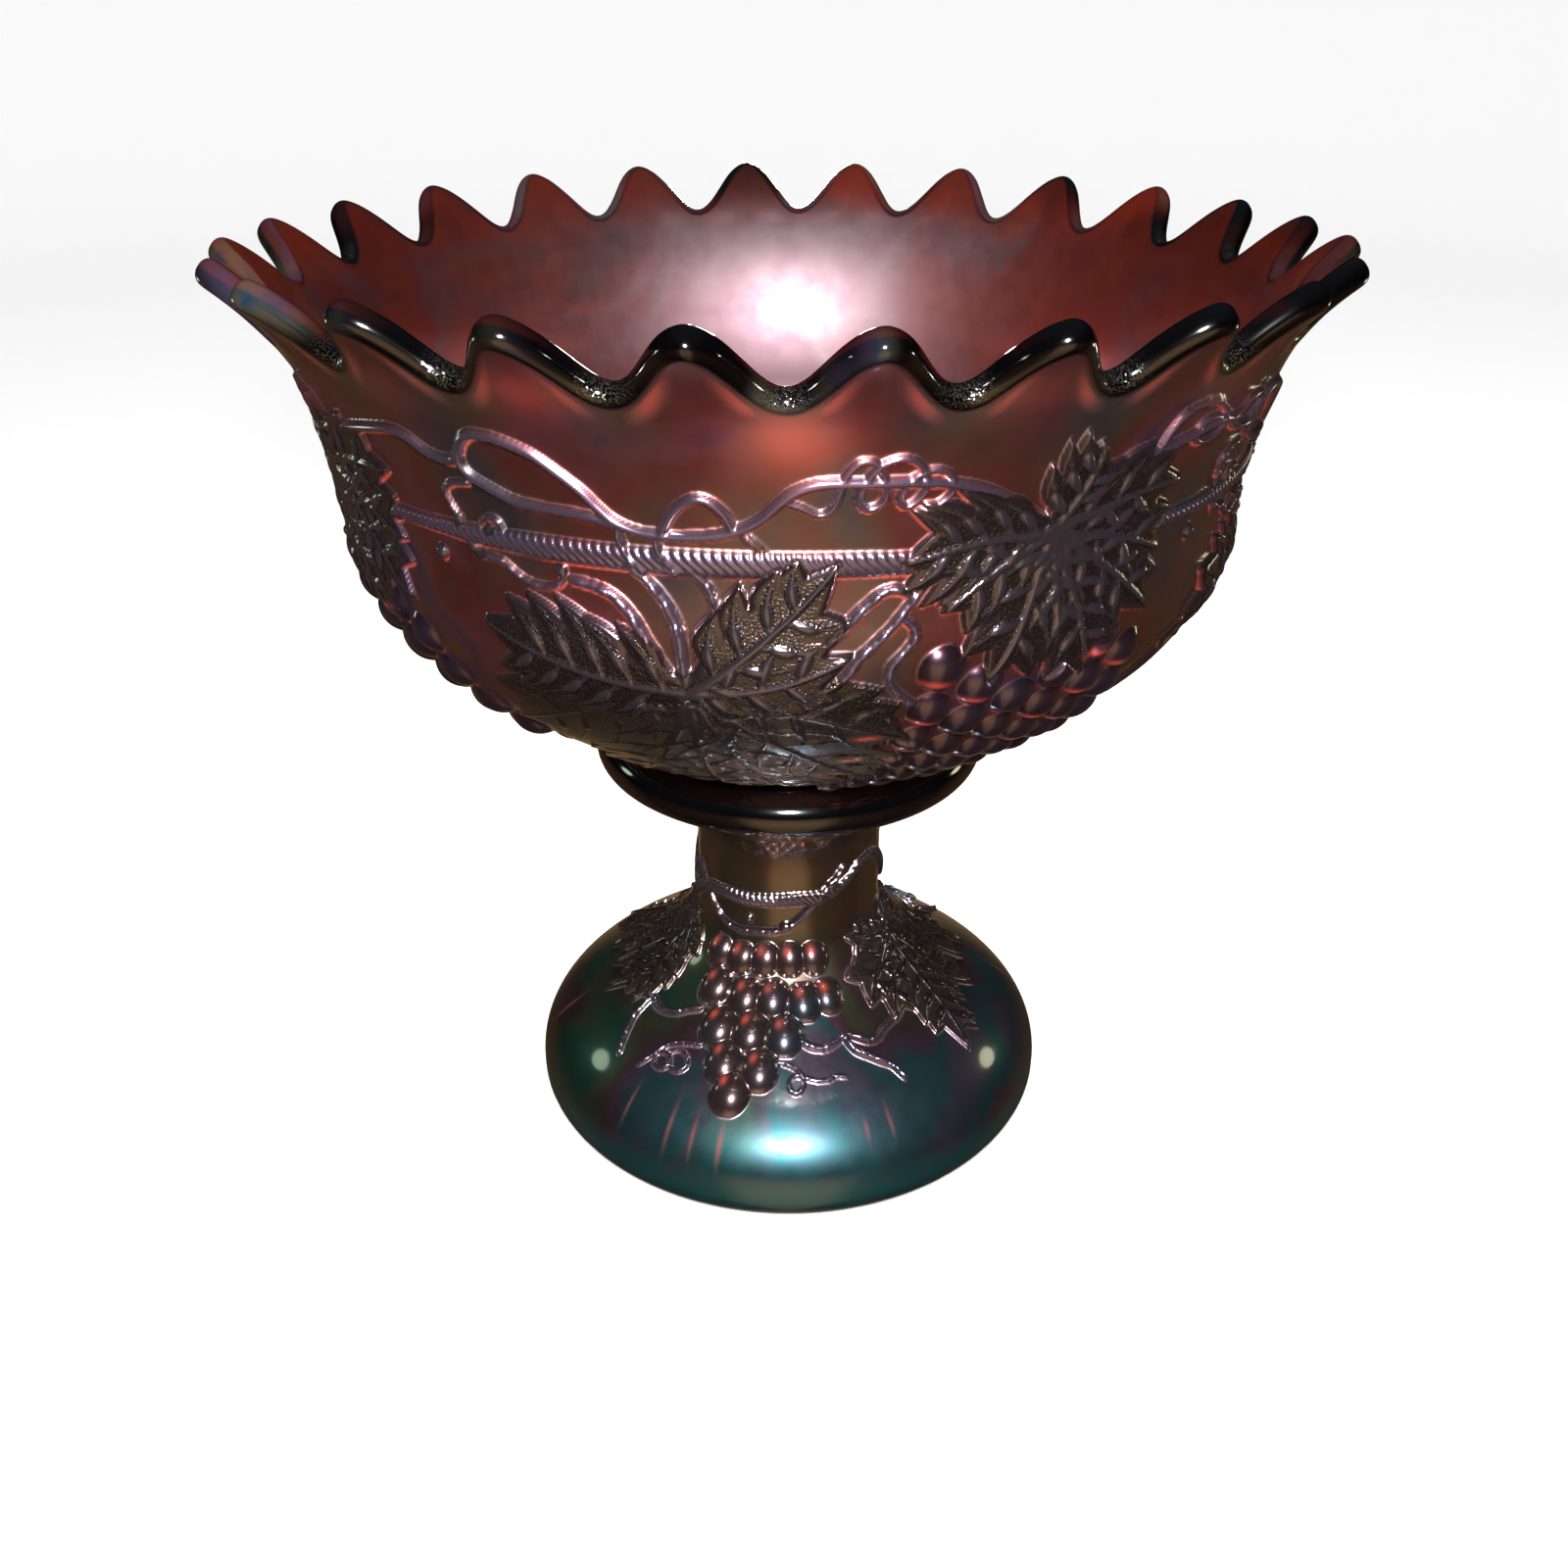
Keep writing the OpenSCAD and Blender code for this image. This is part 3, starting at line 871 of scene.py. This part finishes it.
class Nodes:
    """Short calls that make and link shader nodes."""

    def __init__(self, tree):
        self.tree = tree

    def node(self, kind, inputs=None, **settings):
        made = self.tree.nodes.new(kind)
        for key, value in settings.items():
            setattr(made, key, value)
        for key, value in (inputs or {}).items():
            self.put(made.inputs[key], value)
        return made

    def put(self, socket, value):
        """Links a socket, or sets a plain value."""
        if isinstance(value, bpy.types.NodeSocket):
            self.tree.links.new(value, socket)
        else:
            socket.default_value = value

    def attribute(self, name):
        return self.node("ShaderNodeAttribute", attribute_name=name).outputs["Fac"]

    def place(self):
        return self.node("ShaderNodeTexCoord").outputs["Object"]

    def parts(self, vector):
        """The x, y and z of a vector."""
        return self.node("ShaderNodeSeparateXYZ", {0: vector}).outputs

    def math(self, operation, a, b=0.0):
        return self.node("ShaderNodeMath", {0: a, 1: b}, operation=operation).outputs[0]

    def plus(self, a, b):
        return self.math("ADD", a, b)

    def times(self, first, *others):
        for other in others:
            first = self.math("MULTIPLY", first, other)
        return first

    def most(self, first, *others):
        for other in others:
            first = self.math("MAXIMUM", first, other)
        return first

    def rest(self, value):
        return self.math("SUBTRACT", 1.0, value)

    def cut(self, value, amount, share):
        """A value brought down by a share of itself where amount is 1."""
        return self.times(value, self.rest(self.times(amount, share)))

    def ease(self, value, low, high, to_low=0.0, to_high=1.0):
        """Eased from to_low, where a value is low, to to_high, where it is high."""
        inputs = {"Value": value, "From Min": low, "From Max": high, "To Min": to_low, "To Max": to_high}
        return self.node("ShaderNodeMapRange", inputs, interpolation_type="SMOOTHSTEP").outputs["Result"]

    def mix(self, amount, a, b, kind="MIX"):
        inputs = {"Factor": amount, 6: a, 7: b}
        return self.node("ShaderNodeMix", inputs, data_type="RGBA", blend_type=kind).outputs[2]

    def lay(self, under, amount, share, over):
        """A colour with another over it, of which a share shows where amount is 1."""
        return self.mix(self.times(amount, share), under, over)

    def noise(self, scale, detail, roughness=0.5, distortion=0.0):
        inputs = {"Vector": self.place(), "Scale": scale, "Detail": detail, "Roughness": roughness,
                  "Distortion": distortion}
        return self.node("ShaderNodeTexNoise", inputs).outputs["Fac"]

    def speckle(self, scale):
        inputs = {"Vector": self.place(), "Scale": scale}
        return self.node("ShaderNodeTexVoronoi", inputs, feature="F1").outputs["Distance"]

    def ramp(self, value, stops):
        made = self.node("ShaderNodeValToRGB", {"Fac": value})
        line = made.color_ramp.elements
        while len(line) < len(stops):
            line.new(0.5)
        for stop, (at, rgb) in zip(line, stops):
            stop.position = at
            stop.color = colour(*rgb)
        return made.outputs["Color"]


# Ramps of the lustre's colours, which drift over the glass
BOWL_FILM = (
    (0.28, (0.065, 0.055, 0.070)), (0.36, (0.130, 0.062, 0.050)), (0.44, (0.180, 0.042, 0.036)),
    (0.50, (0.200, 0.062, 0.070)), (0.56, (0.110, 0.048, 0.100)), (0.62, (0.200, 0.068, 0.045)),
    (0.70, (0.065, 0.055, 0.100)),
)
FOOT_FILM = (
    (0.32, (0.030, 0.100, 0.070)), (0.40, (0.085, 0.090, 0.055)), (0.46, (0.090, 0.055, 0.045)),
    (0.52, (0.115, 0.055, 0.090)), (0.58, (0.030, 0.100, 0.110)), (0.66, (0.090, 0.075, 0.115)),
)
# Inside the bowl: this paler, greyer ramp is used at the front and back as a painted highlight, and the
# redder one below at the sides
BOWL_INSIDE = (
    (0.34, (0.24, 0.130, 0.130)), (0.46, (0.27, 0.165, 0.180)), (0.54, (0.29, 0.200, 0.220)),
    (0.64, (0.23, 0.140, 0.165)),
)
BOWL_INSIDE_SIDE = (
    (0.32, (0.34, 0.060, 0.035)), (0.44, (0.30, 0.055, 0.050)), (0.52, (0.24, 0.085, 0.085)),
    (0.60, (0.34, 0.080, 0.060)), (0.70, (0.18, 0.075, 0.060)),
)
RIM_FILM = (
    (0.34, (0.010, 0.030, 0.060)), (0.44, (0.065, 0.055, 0.030)), (0.50, (0.025, 0.030, 0.050)),
    (0.56, (0.045, 0.025, 0.050)), (0.64, (0.020, 0.060, 0.060)),
)
# the painted red glow of light through the glass, inside just under the rim
RIM_GLOW_RED = ((0.40, (0.32, 0.030, 0.006)), (0.60, (0.18, 0.034, 0.016)))
# the painted red glow of light through the glass, on spots and lines of the relief
GLOW_RED = ((0.40, (0.62, 0.045, 0.008)), (0.60, (0.42, 0.045, 0.016)))

# Plain colours
BLACK = colour(0, 0, 0)
BARE_GLASS = colour(0.0008, 0.0006, 0.0008)
RIM_DUST = colour(0.085, 0.070, 0.050)
VALLEY_BAND = colour(0.120, 0.105, 0.075)
TOOTH_BAND = colour(0.200, 0.036, 0.040)
FOOT_TEAL = colour(0.035, 0.130, 0.150)
HEM_TEAL = colour(0.025, 0.180, 0.210)
NECK_BRONZE = colour(0.150, 0.090, 0.050)
HOLLOW_DARK = colour(0.05, 0.03, 0.04)
HALO = colour(0.40, 0.27, 0.33)
# painted lilac highlight on the tops of ridges
RIDGE_SHEEN = colour(0.29, 0.22, 0.34)
LOW_VEIN = colour(0.060, 0.045, 0.034)
HIGH_VEIN = colour(0.19, 0.16, 0.20)
# the low leaf ground's tan is partly its own colour and partly a painted reflection of the table
LOW_TURF = colour(0.240, 0.185, 0.120)
HIGH_TURF = colour(0.027, 0.019, 0.018)
FOOT_TURF = colour(0.105, 0.072, 0.052)
# painted gold glints on the pebbled leaf ground
TURF_GLINTS = colour(0.40, 0.31, 0.18)

# grape_sheen is a painted sheen on the grapes' flanks: tan on the bowl, where it stands for the table's
# reflection, and pale on the foot
BOWL_LOOK = SimpleNamespace(
    is_bowl=True, film=BOWL_FILM, drift=15, halo=0.35,
    leaf=((0.42, (0.065, 0.040, 0.038)), (0.58, (0.080, 0.055, 0.080))),
    grape=((0.42, (0.055, 0.022, 0.030)), (0.58, (0.055, 0.035, 0.075))),
    grape_sheen=colour(0.50, 0.36, 0.22), dull=(0.39, 0.45), polish=0.46, edge_metal=0.5,
)
FOOT_LOOK = SimpleNamespace(
    is_bowl=False, film=FOOT_FILM, drift=18, halo=0.75,
    leaf=((0.42, (0.130, 0.085, 0.062)), (0.58, (0.120, 0.080, 0.090))),
    grape=((0.42, (0.160, 0.095, 0.085)), (0.58, (0.110, 0.135, 0.160))),
    grape_sheen=colour(0.42, 0.29, 0.29), dull=(0.34, 0.40), polish=0.40, edge_metal=0.0,
)
CONSTANT_INPUTS = {"IOR": 1.5, "Coat Weight": 1.0, "Coat Roughness": 0.09, "Coat IOR": 1.9,
                   "Emission Strength": 0.62}


def bowl_colour(n, at, body):
    """Maroon bands under the teeth and grey-green ones below the valleys. Inside, paler at the front and
    back as a painted highlight, redder at the sides, and a painted red glow of light through the glass
    at the rim."""
    bands = n.mix(n.attribute("tooth"), VALLEY_BAND, TOOTH_BAND)
    body = n.lay(body, n.ease(at.length, 0.80, 0.95), 0.6, bands)
    # paler at the front and back: a painted highlight
    aside = n.ease(at.side, 0.012, 0.090)
    inner = n.mix(aside, n.ramp(at.drifts, BOWL_INSIDE), n.ramp(at.drifts, BOWL_INSIDE_SIDE))
    inner = n.lay(inner, at.hot, 0.85, n.ramp(at.cloud, RIM_GLOW_RED))
    return n.mix(at.inside, body, inner)


def foot_colour(n, at, body):
    """Teal low down, strongest at the front and back as a painted sheen, and brighter at the hem; bronze
    on the neck, and dark in the hollow.
    """
    # teal strongest at the front and back: a painted sheen
    aside = n.ease(at.side, 0.018, 0.050, 0.8, 0.08)
    body = n.lay(body, n.ease(at.length, 0.36, 0.16), aside, FOOT_TEAL)
    body = n.lay(body, n.ease(at.length, 0.16, 0.11), 0.9, HEM_TEAL)
    body = n.lay(body, n.ease(at.length, 0.50, 0.60), 0.8, NECK_BRONZE)
    return n.mix(at.inside, body, HOLLOW_DARK)


def relief_colour(n, at, look, body):
    """Ridges have a halo and a painted lilac highlight on top, leaves are bronze, grapes are purple with
    a painted sheen on their flanks, and the leaf ground has painted gold glints.
    """
    halo = n.times(n.ease(at.relief, 0.01, 0.04), n.ease(at.relief, 0.16, 0.07))
    if not look.is_bowl:
        # on the foot the halo also takes the painted glow line below each ridge
        halo = n.most(halo, at.seep)
    body = n.lay(body, halo, look.halo, HALO)
    body = n.lay(body, at.raised, 0.7, RIDGE_SHEEN)
    body = n.lay(body, n.ease(at.leaf, 0.1, 0.45), 0.9, n.ramp(at.drifts, look.leaf))
    body = n.lay(body, at.veins, 0.6, n.mix(n.ease(at.length, 0.42, 0.56), LOW_VEIN, HIGH_VEIN))
    if look.is_bowl:
        # lighter tan low down: partly the ground's own colour, partly a painted reflection of the table
        turf = n.mix(n.ease(at.length, 0.52, 0.30), HIGH_TURF, LOW_TURF)
        # under: the lower side of each grape, painted tan as a reflection of the table
        under = n.ease(at.flank, 0.26, 0.60)
    else:
        turf = FOOT_TURF
        # on the foot both flanks of each grape get a painted pale sheen
        under = n.ease(n.math("ABSOLUTE", at.flank), 0.30, 0.75)
    body = n.lay(body, at.ground, 0.85, turf)
    body = n.lay(body, at.grape, 0.85, n.ramp(at.drifts, look.grape))
    body = n.lay(body, n.times(at.grape, under), 0.85, look.grape_sheen)
    # painted gold glints on the pebbled ground
    glints = n.times(n.ease(n.speckle(1500), 0.26, 0.12), at.ground)
    return n.lay(body, glints, 0.5, TURF_GLINTS)


def painted_light_through(n, at, look, body):
    """A painted glow, also given off as emission, stands in for light coming through the glass where it
    is thin under a ridge, or thick behind the rim.
    """
    thin = n.times(n.ease(at.flank, 0.55, 0.9), n.rest(at.grain))
    if look.is_bowl:
        # on the bowl the painted glow line below each ridge glows red too
        thin = n.most(thin, at.seep)
        back = n.times(at.hot, 0.26, n.ease(at.drift, 0.38, 0.55))
    else:
        thin = n.times(thin, 0.25)
        back = n.times(at.glow, 0.16)
    thin = n.times(thin, n.ease(at.cloud, 0.40, 0.60, 0.15, 0.9))
    lit = n.most(n.times(thin, 0.8), n.times(at.glow, 0.45))
    through = n.most(n.times(thin, 0.5), n.times(n.most(at.grape, at.raised), at.glow), back)
    painted_glow = n.ramp(at.cloud, GLOW_RED)
    return n.mix(lit, body, painted_glow), lit, n.mix(through, BLACK, painted_glow)


def edge_colour(n, at, look, body):
    """The rim and the ring are bare black glass, with patches of film on the rim, and dust."""
    bare = BARE_GLASS
    if look.is_bowl:
        bare = n.mix(n.ease(at.drift, 0.44, 0.60), bare, n.ramp(at.cloud, RIM_FILM))
    return n.mix(n.ease(at.edge, 0.0, 0.45), body, n.mix(at.dust, bare, RIM_DUST))


def dullness(n, at, look):
    """The film is dull, the relief is polished, and the bare edge is nearly a mirror."""
    rough = n.ease(n.noise(160, detail=5, roughness=0.65), 0.3, 0.7, *look.dull)
    rough = n.plus(rough, n.times(at.inside, 0.05))
    rough = n.cut(rough, n.times(n.most(at.raised, at.leaf, at.grape), n.rest(at.ground)), look.polish)
    rough = n.cut(rough, at.veins, 0.2)
    if not look.is_bowl:
        neck = n.times(n.ease(at.length, 0.54, 0.58), n.ease(at.length, 0.80, 0.76))
        rough = n.cut(rough, neck, 0.45)
    rough = n.cut(rough, at.edge, 0.85)
    return n.plus(rough, n.times(at.dust, 0.2))


def lumps(n, at):
    """The pebbled leaf ground, and the faint waviness of pressed glass."""
    pebbles = n.times(n.speckle(1400), n.times(at.grain, 0.9))
    height = n.plus(pebbles, n.times(n.noise(26, detail=1), 0.10))
    inputs = {"Height": height, "Strength": 0.6, "Distance": 0.0006}
    return n.node("ShaderNodeBump", inputs).outputs["Normal"]


def glass_material(name, look):
    """Dark pressed glass under a thin lustre whose colours drift over it."""
    material = bpy.data.materials.new(name)
    material.use_nodes = True
    inputs = material.node_tree.nodes["Principled BSDF"].inputs
    n = Nodes(material.node_tree)
    at = SimpleNamespace(**{layer: n.attribute(layer) for layer in LAYERS})
    at.side = n.math("ABSOLUTE", n.parts(n.place())[0])
    at.drift = n.noise(look.drift, detail=2, distortion=0.6)
    at.cloud = n.noise(34, detail=4, roughness=0.6)
    at.drifts = n.math("SUBTRACT", n.plus(n.times(at.drift, 1.15), n.times(at.cloud, 0.35)), 0.25)
    # hot marks where a painted red glow sits inside, just under the rim
    at.hot = n.times(n.ease(at.length, 0.88, 0.98), at.inside)
    at.raised = n.ease(at.relief, 0.12, 0.5)
    at.veins = n.ease(at.leaf, 0.6, 0.95)
    at.ground = n.ease(at.grain, 0.1, 0.6)
    at.dust = n.times(n.times(at.grain, at.edge), n.ease(n.speckle(2600), 0.45, 0.15))

    body = (bowl_colour if look.is_bowl else foot_colour)(n, at, n.ramp(at.drifts, look.film))
    body, lit, through = painted_light_through(n, at, look, relief_colour(n, at, look, body))
    n.put(inputs["Base Color"], edge_colour(n, at, look, body))
    # the painted glow is also given off as emission
    n.put(inputs["Emission Color"], through)
    n.put(inputs["Roughness"], dullness(n, at, look))
    n.put(inputs["Metallic"], n.cut(n.ease(at.edge, 0.3, 0.8, 0.94, look.edge_metal), lit, 0.7))
    n.put(inputs["Normal"], lumps(n, at))
    for key, value in CONSTANT_INPUTS.items():
        inputs[key].default_value = value
    return material


# -------- stage

# The photograph's view: a little above the rim, looking down
CAMERA_PLACE = (-0.0014, -0.3829, 0.2998)
CAMERA_TILT = 27.67
CAMERA_LENS = 34.815
SENSOR = 36

FLOOR_R = 3200
FLOOR_FLAT_R = 1600
FLOOR_RISE = 1600
FLOOR_RINGS = 48
FLOOR_COLUMNS = 96
FLOOR_GREY = 0.93

BOWL_MIDDLE = (0, 0, 0.17)
OBJECT_MIDDLE = (0, 0, 0.15)
WHITE = (1, 1, 1)
LIGHTS = (
    # name, place, aim, size, watts, tint, seen in reflections
    ("flash", (0, -0.40, 0.345), BOWL_MIDDLE, 0.045, 4.4, WHITE, True),
    ("left", (-0.347, 0.062, 0.193), (-0.054, -0.037, 0.03), 0.06, 0.024, (0.8, 1, 0.75), True),
    ("right", (0.359, 0.082, 0.161), (0.057, -0.035, 0.029), 0.06, 0.030, (1, 1, 0.65), True),
    ("back", (0, 0.50, 0.215), BOWL_MIDDLE, 0.08, 3.0, WHITE, True),
    ("key", (-0.7, -0.5, 1.1), OBJECT_MIDDLE, 0.7, 2.0, WHITE, False),
    ("top", (0.5, 0.4, 1.3), OBJECT_MIDDLE, 0.9, 2.0, WHITE, False),
)


def make_camera():
    data = bpy.data.cameras.new("camera")
    data.lens = CAMERA_LENS
    data.sensor_width = SENSOR
    data.clip_start = 0.01
    camera = add("camera", data)
    turn = Matrix.Rotation(math.radians(90 - CAMERA_TILT), 4, "X")
    camera.matrix_world = Matrix.Translation(CAMERA_PLACE) @ turn
    bpy.context.scene.camera = camera


def make_floor():
    """A pale sweep: flat near the object, curving up far behind and all round it."""
    radius = np.linspace(FLOOR_R, 0, FLOOR_RINGS)[:-1, None]
    height = FLOOR_RISE * smooth(radius, FLOOR_FLAT_R, FLOOR_R) ** 2
    rings = Rings(())
    sweep = rings.ring(np.tile(radius, FLOOR_COLUMNS), height, FLOOR_R - radius)
    rings.strip(sweep)
    rings.cap(sweep[-1], 0, FLOOR_R)
    floor = rings.build("floor", FLOOR_R / 2)
    paper = bpy.data.materials.new("floor_paper")
    paper.use_nodes = True
    inputs = paper.node_tree.nodes["Principled BSDF"].inputs
    inputs["Base Color"].default_value = colour(FLOOR_GREY, FLOOR_GREY, FLOOR_GREY)
    inputs["Roughness"].default_value = 0.9
    floor.data.materials.append(paper)
    floor.visible_glossy = False


def area_light(name, place, aim, size, watts, tint, glossy):
    data = bpy.data.lights.new(name, "AREA")
    data.shape = "DISK"
    data.size = size
    data.energy = watts
    data.color = tint
    light = add(name, data)
    way = Vector(aim) - Vector(place)
    light.matrix_world = Matrix.Translation(place) @ way.to_track_quat("-Z", "Y").to_matrix().to_4x4()
    light.visible_glossy = glossy


# The lit table top, from straight down (0) to level (0.5), and round the object from the front
TABLE_DEPTH = ((0.0, (0.22, 0.15, 0.10)), (0.05, (0.28, 0.18, 0.11)), (0.11, (0.42, 0.26, 0.13)),
               (0.25, (0.62, 0.40, 0.21)), (0.40, (0.50, 0.32, 0.18)), (0.47, (0.20, 0.12, 0.08)),
               (0.51, (0.02, 0.015, 0.015)), (0.56, (0.0, 0.0, 0.0)))
TABLE_ROUND = ((0.0, (1.0, 1.0, 1.0)), (0.10, (0.90, 0.90, 0.90)), (0.17, (0.18, 0.16, 0.16)),
               (0.24, (0.10, 0.09, 0.09)), (0.50, (0.04, 0.03, 0.04)), (0.60, (0.12, 0.10, 0.10)),
               (0.84, (0.08, 0.07, 0.07)), (0.92, (0.36, 0.34, 0.32)), (1.0, (0.55, 0.52, 0.48)))
ROOM_ABOVE = ((0.48, (0.0, 0.0, 0.0)), (0.56, (0.004, 0.004, 0.005)), (0.74, (0.008, 0.009, 0.012)),
              (0.88, (0.025, 0.03, 0.04)), (1.0, (0.03, 0.035, 0.045)))


def make_world():
    """White to the camera. To the glass, a dark room, with a tan table top lit by the flash."""
    world = bpy.data.worlds.new("studio")
    bpy.context.scene.world = world
    world.use_nodes = True
    world.cycles.sampling_method = "NONE"
    world.node_tree.nodes.clear()
    n = Nodes(world.node_tree)
    x, y, z = n.parts(n.node("ShaderNodeTexCoord").outputs["Generated"])
    turn = n.math("ABSOLUTE", n.math("ARCTAN2", x, n.times(y, -1.0)))
    around = n.ramp(n.math("DIVIDE", turn, math.pi), TABLE_ROUND)
    height = n.plus(n.times(z, 0.5), 0.5)
    table = n.mix(1.0, around, n.ramp(height, TABLE_DEPTH), "MULTIPLY")
    room = n.mix(1.0, table, n.ramp(height, ROOM_ABOVE), "ADD")
    white, dark = (n.node("ShaderNodeBackground", {"Color": light}).outputs[0]
                   for light in (colour(*WHITE), room))
    glossy = n.node("ShaderNodeLightPath").outputs["Is Glossy Ray"]
    seen = n.node("ShaderNodeMixShader", {0: glossy, 1: white, 2: dark}).outputs[0]
    n.node("ShaderNodeOutputWorld", {"Surface": seen})


# -------- the scene

bpy.context.scene.view_settings.view_transform = "Standard"
make_camera()
make_floor()
make_world()
for light in LIGHTS:
    area_light(*light)

bowl = build_bowl()
pedestal = build_pedestal()
bowl.data.materials.append(glass_material("bowl_lustre", BOWL_LOOK))
pedestal.data.materials.append(glass_material("pedestal_lustre", FOOT_LOOK))

for piece, node, body, slot in ((bowl, "punch_bowl", "bowl", "bowl_glass"),
                                (pedestal, "pedestal", "pedestal", "pedestal_glass")):
    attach(piece, body)
    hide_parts(node)
